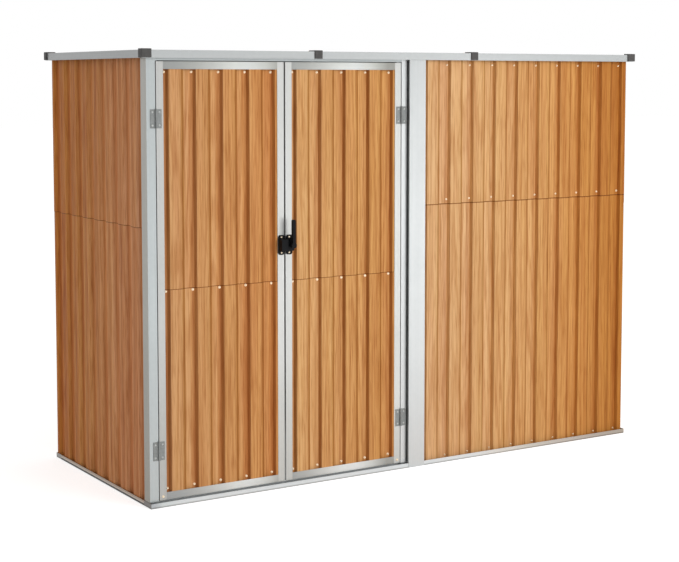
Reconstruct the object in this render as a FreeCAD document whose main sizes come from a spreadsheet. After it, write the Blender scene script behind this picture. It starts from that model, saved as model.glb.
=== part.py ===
import FreeCAD, Part
import math
import os
import re
import Sketcher

# Garden tool shed of folded galvanised frames and ribbed, wood-printed steel sheets, with a pair of doors.
# The front faces -Y and +Z is up. The origin is the centre of the four anchor holes, on the ground.

# Driving sizes in millimetres, kept in the document's sheet under these names.
SIZES = {
    # Overall sizes of the base frame, the height over the roof caps, and how far the roof rim stands out.
    "base_length": 2208.0,
    "base_depth": 890.0,
    "shed_height": 1610.0,
    "side_overhang": 21.0,
    "front_overhang": 5.0,
    # How far the walls stand in from the outer face of the base lip.
    "front_step": 14.0,
    "side_step": 2.0,
    # Sheet thicknesses and the small clearances between folded pieces.
    "frame_sheet": 1.0,
    "panel_sheet": 0.4,
    "panel_gap": 0.2,
    "fit_gap": 0.3,
    "lap_gap": 0.06,
    # Ribs of the printed sheets: trapezoid troughs between flat crests, which are a little wider.
    "rib_depth": 10.5,
    "rib_slope": 7.5,
    "rib_margin": 1.5,
    "crest_extra": 9.5,
    "wall_rib_pitch": 110.5,
    "side_rib_pitch": 109.3,
    "door_rib_pitch": 106.1,
    "front_crest_lead": 21.4,
    "door_crest_lead": 48.1,
    "left_rib_lead": 32.2,
    "right_rib_lead": 28.0,
    "back_rib_lead": 24.0,
    "roof_rib_lead": 40.0,
    # Heights of the visible laps, and how far one sheet runs behind the other there.
    "front_lap_height": 1021.0,
    "side_lap_height": 985.0,
    "door_lap_height": 767.0,
    "lap_cover": 30.0,
    # Base rails.
    "lip_height": 18.0,
    "base_rib_height": 40.0,
    "base_foot": 34.0,
    "anchor_edge": 34.0,
    "anchor_end": 105.0,
    "anchor_radius": 4.5,
    # Posts, rails and header.
    "post_leg": 40.0,
    "corner_post_face": 34.0,
    "corner_post_side": 46.0,
    "door_post_face": 24.0,
    "door_post_foot": 30.0,
    "recess_gap": 4.0,
    "centre_post_width": 73.5,
    "centre_post_lip": 6.0,
    "back_post_width": 40.0,
    "back_post_depth": 20.0,
    "stop_lip": 12.0,
    "stop_gap": 0.5,
    "header_height": 24.0,
    "header_lip": 8.0,
    "rail_leg": 40.0,
    "rail_shelf": 25.0,
    # Doors.
    "door_width": 508.0,
    "hinge_gap": 3.5,
    "meeting_gap": 6.3,
    "door_gap": 3.0,
    "sill_gap": 4.0,
    "frame_face": 27.0,
    "frame_flange": 45.0,
    "door_rail_web": 12.0,
    # Hinges.
    "hinge_height": 66.0,
    "leaf_width": 22.0,
    "leaf_sheet": 1.8,
    "knuckle_radius": 3.8,
    "knuckle_gap": 0.4,
    "knuckle_clear": 0.8,
    "pin_radius": 2.0,
    "pin_head_radius": 3.2,
    "pin_head": 1.5,
    "running_gap": 0.05,
    "low_hinge_rise": 178.0,
    "high_hinge_drop": 198.4,
    # Latch.
    "latch_height": 901.0,
    "latch_plate_width": 28.0,
    "latch_plate_height": 73.0,
    "latch_plate": 2.5,
    "latch_corner": 10.0,
    "latch_inset": 1.5,
    "latch_block_height": 44.0,
    "latch_block_depth": 18.0,
    "keeper_wall": 4.0,
    "block_gap": 1.5,
    "block_round": 4.0,
    "spindle_radius": 5.0,
    "cam_hub_radius": 9.0,
    "cam_sheet": 4.0,
    "cam_width": 11.0,
    "cam_reach": 27.0,
    "cam_clear": 1.0,
    "lever_width": 12.0,
    "lever_sheet": 12.0,
    "lever_reach": 94.0,
    "lever_hub_radius": 10.0,
    "lever_round": 6.0,
    # Roof.
    "fascia_height": 28.0,
    "fascia_leg": 20.0,
    "fascia_foot": 6.0,
    "roof_left_bay": 705.0,
    "roof_right_bay": 833.0,
    "roof_rib_width": 30.0,
    "roof_rib_height": 25.0,
    "cover_strip_width": 30.0,
    "cap_sheet": 4.0,
    "cap_leg": 34.0,
    "cap_side_leg": 22.0,
    "cap_drop": 31.0,
    "cap_round": 2.5,
    "joint_cap_width": 33.0,
    "joint_cap_leg": 41.0,
}

doc = FreeCAD.newDocument("ToolShed")
sheet = doc.addObject("Spreadsheet::Sheet", "Sizes")
for row, (name, value) in enumerate(SIZES.items(), start=1):
    sheet.set(f"A{row}", name)
    sheet.set(f"B{row}", str(value))
    sheet.setAlias(f"B{row}", name)
doc.recompute()

# Planes and stations that several pieces share, worked out from the sheet.
WALL = "(base_length / 2 - side_step)"
FRONT = "(front_step - base_depth / 2)"
BACK = "(base_depth / 2 - side_step)"
NEST = "((panel_sheet + lap_gap) * sqrt(rib_depth ^ 2 + rib_slope ^ 2) / rib_slope)"
SKIN = "(frame_sheet + panel_gap)"
SEAT = f"({SKIN} + rib_depth + {NEST} + panel_sheet + panel_gap)"
POST = f"({SEAT} + frame_sheet + panel_gap)"
STOP = f"({SEAT} + frame_sheet + stop_gap)"

FASCIA_TOP = "(shed_height - cap_sheet - fit_gap)"
FASCIA_LOW = f"({FASCIA_TOP} - fascia_height)"
ROOF_TOP = f"({FASCIA_TOP} - frame_sheet - panel_gap)"
RAIL_TOP = f"({ROOF_TOP} - rib_depth - panel_sheet - panel_gap)"
POST_TOP = f"({RAIL_TOP} - frame_sheet - panel_gap)"
HEADER_LOW = f"({RAIL_TOP} - header_height)"
DOOR_TOP = f"({HEADER_LOW} - door_gap)"
DOOR_LOW = "(lip_height + sill_gap)"
ON_LIP = "(lip_height + fit_gap)"
ON_WEB = "(frame_sheet + panel_gap)"

LEFT_DOOR = f"(corner_post_face + hinge_gap - {WALL})"
LEFT_EDGE = f"({LEFT_DOOR} + door_width)"
RIGHT_EDGE = f"({LEFT_EDGE} + meeting_gap)"
RIGHT_DOOR = f"({RIGHT_EDGE} + door_width)"
JAMB = f"({RIGHT_DOOR} + hinge_gap)"
JAMB_END = f"({JAMB} + door_post_face)"
COVER = f"({JAMB_END} + recess_gap)"
COVER_END = f"({COVER} + centre_post_width)"

PLANES = {"X": "YZ_Plane", "Y": "XZ_Plane", "Z": "XY_Plane"}
nodes = {}


def bound(expression):
    """Point each size named in an expression at its cell in the sheet."""
    def cell(word):
        return f"Sizes.{word[0]}" if word[0] in SIZES else word[0]
    return re.sub(r"[a-z][a-z_]*", cell, expression)


def origin_feature(body, role):
    return next(feature for feature in body.Origin.OriginFeatures if feature.Role == role)


def new_body(label):
    body = doc.addObject("PartDesign::Body", "Body")
    body.Label = label
    return body


def new_sketch(body, axis, start):
    """A sketch square to an axis at a station along it, drawn in the shed's own coordinates."""
    sketch = body.newObject("Sketcher::SketchObject", "Outline")
    sketch.AttachmentSupport = [(origin_feature(body, PLANES[axis]), "")]
    sketch.MapMode = "FlatFace"
    sign = "-" if axis == "Y" else ""
    sketch.setExpression("AttachmentOffset.Base.z", bound(f"{sign}({start})"))
    return sketch


def polygon(sketch, corners):
    """Draw a closed outline whose corners are tied to expressions."""
    first = sketch.GeometryCount
    count = len(corners)
    ring = [2 * math.pi * i / count for i in range(count + 1)]
    points = [FreeCAD.Vector(math.cos(turn), math.sin(turn), 0) for turn in ring]
    sketch.addGeometry([Part.LineSegment(points[i], points[i + 1]) for i in range(count)])
    ties = []
    for i in range(count):
        ties.append(Sketcher.Constraint("Coincident", first + i, 2, first + (i + 1) % count, 1))
    for i in range(count):
        ties.append(Sketcher.Constraint("DistanceX", -1, 1, first + i, 1, points[i].x))
        ties.append(Sketcher.Constraint("DistanceY", -1, 1, first + i, 1, points[i].y))
    made = sketch.addConstraint(ties)
    for i, (across, up) in enumerate(corners):
        sketch.setExpression(f"Constraints[{made[count + 2 * i]}]", bound(across))
        sketch.setExpression(f"Constraints[{made[count + 2 * i + 1]}]", bound(up))


def circle(sketch, centre, radius):
    """Draw a circle whose centre and radius are tied to expressions."""
    index = sketch.addGeometry(Part.Circle(FreeCAD.Vector(1, 1, 0), FreeCAD.Vector(0, 0, 1), 1))
    made = sketch.addConstraint([
        Sketcher.Constraint("DistanceX", -1, 1, index, 3, 1.0),
        Sketcher.Constraint("DistanceY", -1, 1, index, 3, 1.0),
        Sketcher.Constraint("Radius", index, 1.0),
    ])
    for constraint, expression in zip(made, (*centre, radius)):
        sketch.setExpression(f"Constraints[{constraint}]", bound(expression))


def draw(sketch, shape):
    """Draw a list of corners, or a circle given as its centre and radius."""
    if isinstance(shape, list):
        polygon(sketch, shape)
    else:
        circle(sketch, *shape)


def pad(body, axis, start, length, *shapes):
    """Add material along the axis from the station start."""
    sketch = new_sketch(body, axis, start)
    for shape in shapes:
        draw(sketch, shape)
    feature = body.newObject("PartDesign::Pad", "Pad")
    feature.Profile = sketch
    feature.setExpression("Length", bound(length))
    feature.Reversed = axis == "Y"
    doc.recompute()
    return feature


def pocket(body, axis, start, length, *shapes):
    """Cut material along the axis from the station start."""
    sketch = new_sketch(body, axis, start)
    for shape in shapes:
        draw(sketch, shape)
    before = body.Shape.Volume
    feature = body.newObject("PartDesign::Pocket", "Pocket")
    feature.Profile = sketch
    feature.setExpression("Length", bound(length))
    feature.Reversed = axis != "Y"
    doc.recompute()
    if body.Shape.Volume >= before:
        raise RuntimeError(f"a pocket in {body.Label} cuts nothing")
    return feature


def fillet(body, radius, wanted):
    """Round the edges of the body's tip for which wanted(edge) is true."""
    tip = body.Tip
    names = [f"Edge{i}" for i, edge in enumerate(tip.Shape.Edges, start=1) if wanted(edge)]
    feature = body.newObject("PartDesign::Fillet", "Fillet")
    feature.Base = (tip, names)
    feature.setExpression("Radius", bound(radius))
    doc.recompute()


def rectangle(low_across, high_across, low_up, high_up):
    return [(low_across, low_up), (high_across, low_up), (high_across, high_up), (low_across, high_up)]


def span(low, high):
    return f"({high}) - ({low})"


def shift(base, sign, distance):
    """An expression a signed distance away from another."""
    return f"{base} {'+' if sign > 0 else '-'} ({distance})"


def group(label, bodies):
    """Like pieces that share one node, each still a solid of its own."""
    compound = doc.addObject("Part::Compound", "Group")
    compound.Label = label
    compound.Links = bodies
    doc.recompute()
    nodes[label] = compound


def finish(body):
    nodes[body.Label] = body


# Base frame: each rail is a folded channel with a low outer lip, a foot on the ground and a standing rib
# behind the wall sheets. The front and back rails close the corners with folded end tabs.
def long_base_rail(label, sign, plane, rib_from, rib_to):
    """Front or back rail; sign is the way from the outer lip to the inside."""
    body = new_body(label)
    outer = "(-base_depth / 2)" if sign > 0 else "(base_depth / 2)"
    lip_in = shift(outer, sign, "frame_sheet")
    rib_out = shift(plane, sign, SEAT)
    rib_in = shift(plane, sign, f"{SEAT} + frame_sheet")
    foot_in = shift(plane, sign, f"{SEAT} + frame_sheet + base_foot")
    ell = [(outer, "0"), (foot_in, "0"), (foot_in, "frame_sheet"), (lip_in, "frame_sheet"),
           (lip_in, "lip_height"), (outer, "lip_height")]
    pad(body, "X", "-base_length / 2", "base_length", ell)
    inside = f"({WALL} - {SEAT})"
    low_rib = rectangle(rib_out, rib_in, "0", "lip_height")
    pad(body, "X", f"-{inside}", f"2 * {inside}", low_rib)
    tall_rib = rectangle(rib_out, rib_in, "0", "base_rib_height")
    pad(body, "X", rib_from, span(rib_from, rib_to), tall_rib)
    tab = rectangle(outer, foot_in, "0", "lip_height")
    pad(body, "X", "-base_length / 2", "frame_sheet", tab)
    pad(body, "X", "base_length / 2 - frame_sheet", "frame_sheet", tab)
    finish(body)


def side_base_rail(label, sign):
    """Left or right rail between the two long ones, with two anchor holes in its foot."""
    body = new_body(label)
    outer = "(-base_length / 2)" if sign > 0 else "(base_length / 2)"
    plane = f"(-{WALL})" if sign > 0 else WALL
    lip_in = shift(outer, sign, "frame_sheet")
    rib_out = shift(plane, sign, SEAT)
    rib_in = shift(plane, sign, f"{SEAT} + frame_sheet")
    foot_in = shift(plane, sign, f"{SEAT} + frame_sheet + base_foot")
    start = f"{FRONT} + {SEAT} + frame_sheet + base_foot + panel_gap"
    end = f"{BACK} - {SEAT} - frame_sheet - base_foot - panel_gap"
    section = [(outer, "0"), (foot_in, "0"), (foot_in, "frame_sheet"), (rib_in, "frame_sheet"),
               (rib_in, "base_rib_height"), (rib_out, "base_rib_height"), (rib_out, "frame_sheet"),
               (lip_in, "frame_sheet"), (lip_in, "lip_height"), (outer, "lip_height")]
    pad(body, "Y", start, span(start, end), section)
    across = shift(outer, sign, "anchor_edge")
    holes = [((across, f"{end}(base_depth / 2 - anchor_end)"), "anchor_radius") for end in ("-", "")]
    pocket(body, "Z", "0", "frame_sheet", *holes)
    finish(body)


INSIDE = f"({WALL} - {SEAT})"
long_base_rail("base_rail_front", 1, FRONT, f"{COVER_END} + panel_gap", INSIDE)
long_base_rail("base_rail_back", -1, BACK, f"-{INSIDE}", INSIDE)
side_base_rail("base_rail_left", 1)
side_base_rail("base_rail_right", -1)


# Corner posts: plain angles behind the sheets at three corners. The front left one wraps the corner outside
# the sheet, then folds back beside the door and behind it as a door stop.
def angle_post(label, side, face):
    """side is +1 at the right, face is +1 at the back."""
    body = new_body(label)
    x = shift("0", side, f"{WALL} - {POST}")
    y = f"({BACK} - {POST})" if face > 0 else f"({FRONT} + {POST})"
    x_leg = shift(x, -side, "post_leg")
    y_leg = shift(y, -face, "post_leg")
    x_in = shift(x, -side, "frame_sheet")
    y_in = shift(y, -face, "frame_sheet")
    ell = [(x, y), (x_leg, y), (x_leg, y_in), (x_in, y_in), (x_in, y_leg), (x, y_leg)]
    pad(body, "Z", ON_WEB, span(ON_WEB, POST_TOP), ell)
    finish(body)


def front_left_post():
    body = new_body("corner_post_front_left")
    outer = f"(-{WALL})"
    face_end = f"({outer} + corner_post_face)"
    stop = f"({FRONT} + {STOP})"
    side_end = f"{FRONT} + corner_post_side"
    section = [(outer, side_end), (outer, FRONT), (face_end, FRONT), (face_end, stop),
               (f"{face_end} + stop_lip", stop), (f"{face_end} + stop_lip", f"{stop} + frame_sheet"),
               (f"{face_end} - frame_sheet", f"{stop} + frame_sheet"),
               (f"{face_end} - frame_sheet", f"{FRONT} + frame_sheet"),
               (f"{outer} + frame_sheet", f"{FRONT} + frame_sheet"), (f"{outer} + frame_sheet", side_end)]
    pad(body, "Z", ON_LIP, span(ON_LIP, POST_TOP), section)
    finish(body)


front_left_post()
angle_post("corner_post_front_right", 1, -1)
angle_post("corner_post_back_left", -1, 1)
angle_post("corner_post_back_right", 1, 1)


# Door post: a narrow hat section that the right door hangs on, with a stop behind the door.
def door_post():
    body = new_body("door_post")
    stop = f"({FRONT} + {STOP})"
    back = f"{stop} + frame_sheet"
    section = [(f"{JAMB} - stop_lip", stop), (JAMB, stop), (JAMB, FRONT), (JAMB_END, FRONT), (JAMB_END, stop),
               (f"{JAMB_END} + door_post_foot", stop), (f"{JAMB_END} + door_post_foot", back),
               (f"{JAMB_END} - frame_sheet", back), (f"{JAMB_END} - frame_sheet", f"{FRONT} + frame_sheet"),
               (f"{JAMB} + frame_sheet", f"{FRONT} + frame_sheet"), (f"{JAMB} + frame_sheet", back),
               (f"{JAMB} - stop_lip", back)]
    pad(body, "Z", ON_LIP, span(ON_LIP, POST_TOP), section)
    finish(body)


# Centre post: a wide, proud channel, open towards the door post, whose face runs down over the base lip.
def centre_post():
    body = new_body("centre_post")
    face = "(-base_depth / 2 - panel_gap - frame_sheet)"
    face_in = f"{face} + frame_sheet"
    lip_in = f"{face} + centre_post_lip"
    web_in = f"{COVER_END} - frame_sheet"
    flange = f"({FRONT} + {STOP} + frame_sheet + panel_gap)"
    flange_in = f"{flange} + frame_sheet"
    flange_end = f"{COVER} + centre_post_lip"
    top = f"({FASCIA_LOW} - fit_gap)"
    section = [(COVER, lip_in), (COVER, face), (COVER_END, face), (COVER_END, flange_in),
               (flange_end, flange_in), (flange_end, flange), (web_in, flange), (web_in, face_in),
               (f"{COVER} + frame_sheet", face_in), (f"{COVER} + frame_sheet", lip_in)]
    pad(body, "Z", ON_LIP, span(ON_LIP, top), section)
    pad(body, "Z", "frame_sheet", span("frame_sheet", ON_LIP), rectangle(COVER, COVER_END, face, face_in))
    finish(body)


# Back post: a channel behind the joint of the back sheets.
def back_post():
    body = new_body("back_post")
    half = "(back_post_width / 2)"
    y = f"({BACK} - {POST})"
    y_in = f"{y} - frame_sheet"
    y_end = f"{y} - back_post_depth"
    x_in = f"({half} - frame_sheet)"
    section = [(f"-{half}", y), (half, y), (half, y_end), (x_in, y_end), (x_in, y_in), (f"-{x_in}", y_in),
               (f"-{x_in}", y_end), (f"-{half}", y_end)]
    pad(body, "Z", ON_WEB, span(ON_WEB, POST_TOP), section)
    finish(body)


door_post()
centre_post()
back_post()


# Header over the doors and top rails along the walls: folded sections whose shelves carry the roof sheets.
def door_header():
    body = new_body("door_header")
    start = f"(corner_post_face + panel_gap - {WALL})"
    end = f"({JAMB} - panel_gap)"
    shelf = f"({FRONT} + {SEAT} + rail_shelf)"
    face_in = f"{FRONT} + frame_sheet"
    lip = f"{FRONT} + header_lip"
    section = [(FRONT, HEADER_LOW), (lip, HEADER_LOW), (lip, f"{HEADER_LOW} + frame_sheet"),
               (face_in, f"{HEADER_LOW} + frame_sheet"), (face_in, f"{RAIL_TOP} - frame_sheet"),
               (shelf, f"{RAIL_TOP} - frame_sheet"), (shelf, RAIL_TOP), (FRONT, RAIL_TOP)]
    pad(body, "X", start, span(start, end), section)
    finish(body)


def top_rail(label, axis, plane, sign, start, end):
    """An angle with its flange behind the sheet and its shelf at the top; sign points inwards."""
    body = new_body(label)
    flange = shift(plane, sign, SEAT)
    flange_in = shift(plane, sign, f"{SEAT} + frame_sheet")
    shelf = shift(plane, sign, f"{SEAT} + rail_shelf")
    low = f"{RAIL_TOP} - rail_leg"
    section = [(flange, low), (flange_in, low), (flange_in, f"{RAIL_TOP} - frame_sheet"),
               (shelf, f"{RAIL_TOP} - frame_sheet"), (shelf, RAIL_TOP), (flange, RAIL_TOP)]
    pad(body, axis, start, span(start, end), section)
    finish(body)


SHELF_FRONT = f"({FRONT} + {SEAT} + rail_shelf + panel_gap)"
SHELF_BACK = f"({BACK} - {SEAT} - rail_shelf - panel_gap)"
door_header()
top_rail("top_rail_front", "X", FRONT, 1, f"({COVER_END} + panel_gap)", INSIDE)
top_rail("top_rail_back", "X", BACK, -1, f"(-{INSIDE})", INSIDE)
top_rail("top_rail_left", "Y", f"(-{WALL})", 1, SHELF_FRONT, SHELF_BACK)
top_rail("top_rail_right", "Y", WALL, -1, SHELF_FRONT, SHELF_BACK)


# Mid rails: angles behind the laps of the sheets. The flange passes in front of the posts, and the web that
# stiffens it runs only between them.
def mid_rail(label, axis, plane, sign, lap, flange_run, web_runs):
    body = new_body(label)
    flange = shift(plane, sign, SEAT)
    flange_in = shift(plane, sign, f"{SEAT} + frame_sheet")
    web_in = shift(plane, sign, f"{SEAT} + rail_shelf")
    low = f"({lap} + lap_cover / 2 - rail_leg / 2)"
    pad(body, axis, flange_run[0], span(*flange_run), rectangle(flange, flange_in, low, f"{low} + rail_leg"))
    for run in web_runs:
        pad(body, axis, run[0], span(*run), rectangle(flange, web_in, low, f"{low} + frame_sheet"))
    finish(body)


POST_LEG = f"({POST} + post_leg + panel_gap)"
BACK_FLANGE = f"({BACK} - {SEAT} - frame_sheet - panel_gap)"
FRONT_FLANGE = f"({FRONT} + {SEAT} + frame_sheet + panel_gap)"
HALF_BACK_POST = "(back_post_width / 2 + panel_gap)"
BACK_POST_FACE = f"({WALL} - {POST_LEG})"
mid_rail("mid_rail_left", "Y", f"(-{WALL})", 1, "side_lap_height",
         (f"({FRONT} + frame_sheet + panel_gap)", BACK_FLANGE),
         [(f"({FRONT} + {STOP} + frame_sheet + panel_gap)", f"({BACK} - {POST_LEG})")])
mid_rail("mid_rail_right", "Y", WALL, -1, "side_lap_height", (FRONT_FLANGE, BACK_FLANGE),
         [(f"({FRONT} + {POST_LEG})", f"({BACK} - {POST_LEG})")])
mid_rail("mid_rail_back", "X", BACK, -1, "side_lap_height", (f"(-{INSIDE})", INSIDE),
         [(f"(-{BACK_POST_FACE})", f"(-{HALF_BACK_POST})"), (HALF_BACK_POST, BACK_POST_FACE)])
mid_rail("mid_rail_front", "X", FRONT, 1, "front_lap_height", (f"({COVER_END} + panel_gap)", INSIDE),
         [(f"({COVER_END} + panel_gap)", BACK_POST_FACE)])


# Ribbed sheets: one trough and crest is drawn once and repeated along the sheet. A plain strip, or the rest of
# a trough cut by the sheet's edge, leads in, and the last trough carries the strip at the far edge.
FOLD = "(panel_sheet * (sqrt(rib_depth ^ 2 + rib_slope ^ 2) - rib_slope) / rib_depth)"
DEEP = "(rib_depth + panel_sheet)"


def floor_width(pitch):
    return f"(({pitch} - 2 * rib_slope - crest_extra) / 2)"


def after_crest(crest, pitch):
    """Where the next rib's drawing starts, after a crest that starts at a station."""
    return f"({crest} + {floor_width(pitch)} + crest_extra - rib_margin)"


def rib_outline(place, start, pitch, end):
    """Corners of one trough with crest strips from start to end, as (across, inwards) pairs."""
    down = f"({start} + rib_margin)"
    floor = f"({down} + rib_slope)"
    rise = f"({floor} + {floor_width(pitch)})"
    crest = f"({rise} + rib_slope)"
    corners = [(start, "0"), (down, "0"), (floor, "rib_depth"), (rise, "rib_depth"), (crest, "0"), (end, "0"),
               (end, "panel_sheet"), (f"{crest} + {FOLD}", "panel_sheet"), (f"{rise} + {FOLD}", DEEP),
               (f"{floor} - {FOLD}", DEEP), (f"{down} - {FOLD}", "panel_sheet"), (start, "panel_sheet")]
    return [place(across, inwards) for across, inwards in corners]


def lead_outline(place, start, crest, end):
    """Corners of the lead-in strip; with a crest given, the edge cuts the trough in front of that crest."""
    corners = [(start, "0"), (end, "0"), (end, "panel_sheet"), (start, "panel_sheet")]
    if crest:
        rise = f"({crest} - rib_slope)"
        corners = [(start, "rib_depth"), (rise, "rib_depth"), (crest, "0"), (end, "0"), (end, "panel_sheet"),
                   (f"{crest} + {FOLD}", "panel_sheet"), (f"{rise} + {FOLD}", DEEP), (start, DEEP)]
    return [place(across, inwards) for across, inwards in corners]


def ribbed_sheet(label, along, run, place, edges, run_edges, pitch, ribs, crest=None):
    """A sheet across edges with ribs along run_edges; ribs gives the first rib's station and their limit."""
    body = new_body(label)
    start, end = edges
    first, limit = ribs
    trough = f"(rib_margin + 2 * rib_slope + {floor_width(pitch)})"
    copies = f"floor(({limit} - {first} - {trough} - rib_margin) / {pitch})"
    last = f"({first} + {copies} * {pitch})"
    length = span(*run_edges)
    unit = pad(body, run, run_edges[0], length, rib_outline(place, first, pitch, f"({first} + {pitch})"))
    repeat = body.newObject("PartDesign::LinearPattern", "Ribs")
    repeat.Originals = [unit]
    repeat.Direction = (origin_feature(body, f"{along}_Axis"), [""])
    repeat.Mode = "Spacing"
    repeat.setExpression("Offset", bound(pitch))
    repeat.setExpression("Occurrences", bound(copies))
    body.Tip = repeat
    doc.recompute()
    pad(body, run, run_edges[0], length, rib_outline(place, last, pitch, end))
    pad(body, run, run_edges[0], length, lead_outline(place, start, crest, first))
    return body


def facing(plane, sign, layer):
    """Placer for sheets across X whose crests lie on a plane of Y, or of Z for the roof."""
    return lambda across, inwards: (across, shift(plane, sign, f"{layer} + {inwards}"))


def siding(plane, sign, layer):
    """Placer for sheets across Y whose crests lie on a plane of X."""
    return lambda across, inwards: (shift(plane, sign, f"{layer} + {inwards}"), across)


PANEL_TOP = f"({RAIL_TOP} - 2 * frame_sheet)"
LAYERS = {"upper": SKIN, "lower": f"({SKIN} + {NEST})"}


def sheet_heights(row, lap):
    if row == "upper":
        return lap, PANEL_TOP
    return ON_WEB, f"({lap} + lap_cover)"


def wall_corner(layer):
    return f"({WALL} - {layer} - panel_sheet - panel_gap)"


# The ribs of both rows share their stations, so that the sheets nest where they lap.
for row, layer in LAYERS.items():
    corner = wall_corner(layer)
    rib_end = wall_corner(LAYERS["lower"])
    front_edge = f"({COVER_END} + panel_gap)"
    front_crest = f"({front_edge} + front_crest_lead)"
    front_ribs = (after_crest(front_crest, "wall_rib_pitch"), rib_end)
    front_run = sheet_heights(row, "front_lap_height")
    finish(ribbed_sheet(f"front_wall_{row}_panel", "X", "Z", facing(FRONT, 1, layer), (front_edge, corner),
                        front_run, "wall_rib_pitch", front_ribs, front_crest))
    side_edges = (f"({FRONT} + {layer})", f"({BACK} - {layer})")
    side_run = sheet_heights(row, "side_lap_height")
    side_end = f"({BACK} - {LAYERS['lower']})"
    left_ribs = (f"({FRONT} + {SKIN} + left_rib_lead)", side_end)
    finish(ribbed_sheet(f"left_wall_{row}_panel", "Y", "Z", siding(f"(-{WALL})", 1, layer), side_edges,
                        side_run, "side_rib_pitch", left_ribs))
    right_ribs = (f"({FRONT} + {SKIN} + right_rib_lead)", side_end)
    finish(ribbed_sheet(f"right_wall_{row}_panel", "Y", "Z", siding(WALL, -1, layer), side_edges,
                        side_run, "side_rib_pitch", right_ribs))
    left_bay = ((f"(-{corner})", "(-panel_gap)"), (f"(back_rib_lead - {wall_corner(SKIN)})", "(-panel_gap)"))
    right_bay = (("panel_gap", corner), ("(panel_gap + back_rib_lead)", rib_end))
    group(f"back_wall_{row}_panels", [
        ribbed_sheet("back_panel", "X", "Z", facing(BACK, -1, layer), edges, side_run, "wall_rib_pitch", ribs)
        for edges, ribs in (left_bay, right_bay)])


# Doors: a frame of folded channels. The sheets sit behind the narrow front flange and in front of the wide
# back flange. The rails fit between the stiles, and the lower sheet laps over the upper one.
FLANGE = f"({FRONT} + {SEAT})"
FLANGE_IN = f"({FLANGE} + frame_sheet)"
FACE_IN = f"({FRONT} + frame_sheet)"


def door_stile(label, edge, sign):
    """A stile with its web on the door's edge; sign points into the door."""
    body = new_body(label)
    web_in = shift(edge, sign, "frame_sheet")
    face_end = shift(edge, sign, "frame_face")
    flange_end = shift(edge, sign, "frame_flange")
    section = [(edge, FRONT), (face_end, FRONT), (face_end, FACE_IN), (web_in, FACE_IN), (web_in, FLANGE),
               (flange_end, FLANGE), (flange_end, FLANGE_IN), (edge, FLANGE_IN)]
    pad(body, "Z", DOOR_LOW, span(DOOR_LOW, DOOR_TOP), section)
    finish(body)


def door_rail(label, left, right, edge, sign):
    """A top or bottom rail with its web on the door's edge; sign points into the door."""
    body = new_body(label)
    web_in = shift(edge, sign, "frame_sheet")
    split = f"({FLANGE} - panel_gap)"
    face = [(FRONT, edge), (split, edge), (split, web_in), (FACE_IN, web_in),
            (FACE_IN, shift(edge, sign, "frame_face")), (FRONT, shift(edge, sign, "frame_face"))]
    run = (f"({left} + frame_face + panel_gap)", f"({right} - frame_face - panel_gap)")
    pad(body, "X", run[0], span(*run), face)
    flange = [(split, edge), (FLANGE_IN, edge), (FLANGE_IN, shift(edge, sign, "frame_flange")),
              (FLANGE, shift(edge, sign, "frame_flange")), (FLANGE, web_in), (split, web_in)]
    run = (f"({left} + frame_flange + panel_gap)", f"({right} - frame_flange - panel_gap)")
    pad(body, "X", run[0], span(*run), flange)
    finish(body)


def door_mid_rail(label, left, right):
    """An angle across the inside of the door, behind the lap."""
    body = new_body(label)
    low = "(door_lap_height - lap_cover / 2 - rail_leg / 2)"
    web_end = f"{FLANGE} + door_rail_web"
    web_top = f"{low} + frame_sheet"
    top = f"{low} + rail_leg"
    section = [(FLANGE, low), (web_end, low), (web_end, web_top), (FLANGE_IN, web_top), (FLANGE_IN, top),
               (FLANGE, top)]
    run = (f"({left} + frame_flange + panel_gap)", f"({right} - frame_flange - panel_gap)")
    pad(body, "X", run[0], span(*run), section)
    finish(body)


def door(name, left, right, hinge_side):
    stiles = {-1: (left, 1), 1: (right, -1)}
    door_stile(f"{name}_hinge_stile", *stiles[hinge_side])
    door_stile(f"{name}_meeting_stile", *stiles[-hinge_side])
    door_rail(f"{name}_top_rail", left, right, DOOR_TOP, -1)
    door_rail(f"{name}_bottom_rail", left, right, DOOR_LOW, 1)
    door_mid_rail(f"{name}_mid_rail", left, right)
    edges = (f"({left} + {SKIN})", f"({right} - {SKIN})")
    runs = {"upper": ("(door_lap_height - lap_cover)", f"({DOOR_TOP} - {SKIN})", f"({SKIN} + {NEST})"),
            "lower": (f"({DOOR_LOW} + {SKIN})", "door_lap_height", SKIN)}
    crest = f"({edges[0]} + door_crest_lead)"
    ribs = (after_crest(crest, "door_rib_pitch"), edges[1])
    for row, (low, high, layer) in runs.items():
        finish(ribbed_sheet(f"{name}_{row}_panel", "X", "Z", facing(FRONT, 1, layer), edges, (low, high),
                            "door_rib_pitch", ribs, crest))


door("left_door", LEFT_DOOR, LEFT_EDGE, -1)
door("right_door", RIGHT_EDGE, RIGHT_DOOR, 1)


# Butt hinges screwed flat on post and stile: the frame leaf carries two knuckles, the door leaf the one
# between them, and a headed pin runs through all three on an axis in front of the door.
HINGES = {"left_door": (f"({LEFT_DOOR} - hinge_gap / 2)", -1),
          "right_door": (f"({RIGHT_DOOR} + hinge_gap / 2)", 1)}
HINGE_HEIGHTS = (f"({DOOR_LOW} + low_hinge_rise)", f"({DOOR_TOP} - high_hinge_drop)")
AXIS_Y = f"({FRONT} - knuckle_gap - knuckle_radius)"
KNUCKLE = "(hinge_height / 3)"


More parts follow.
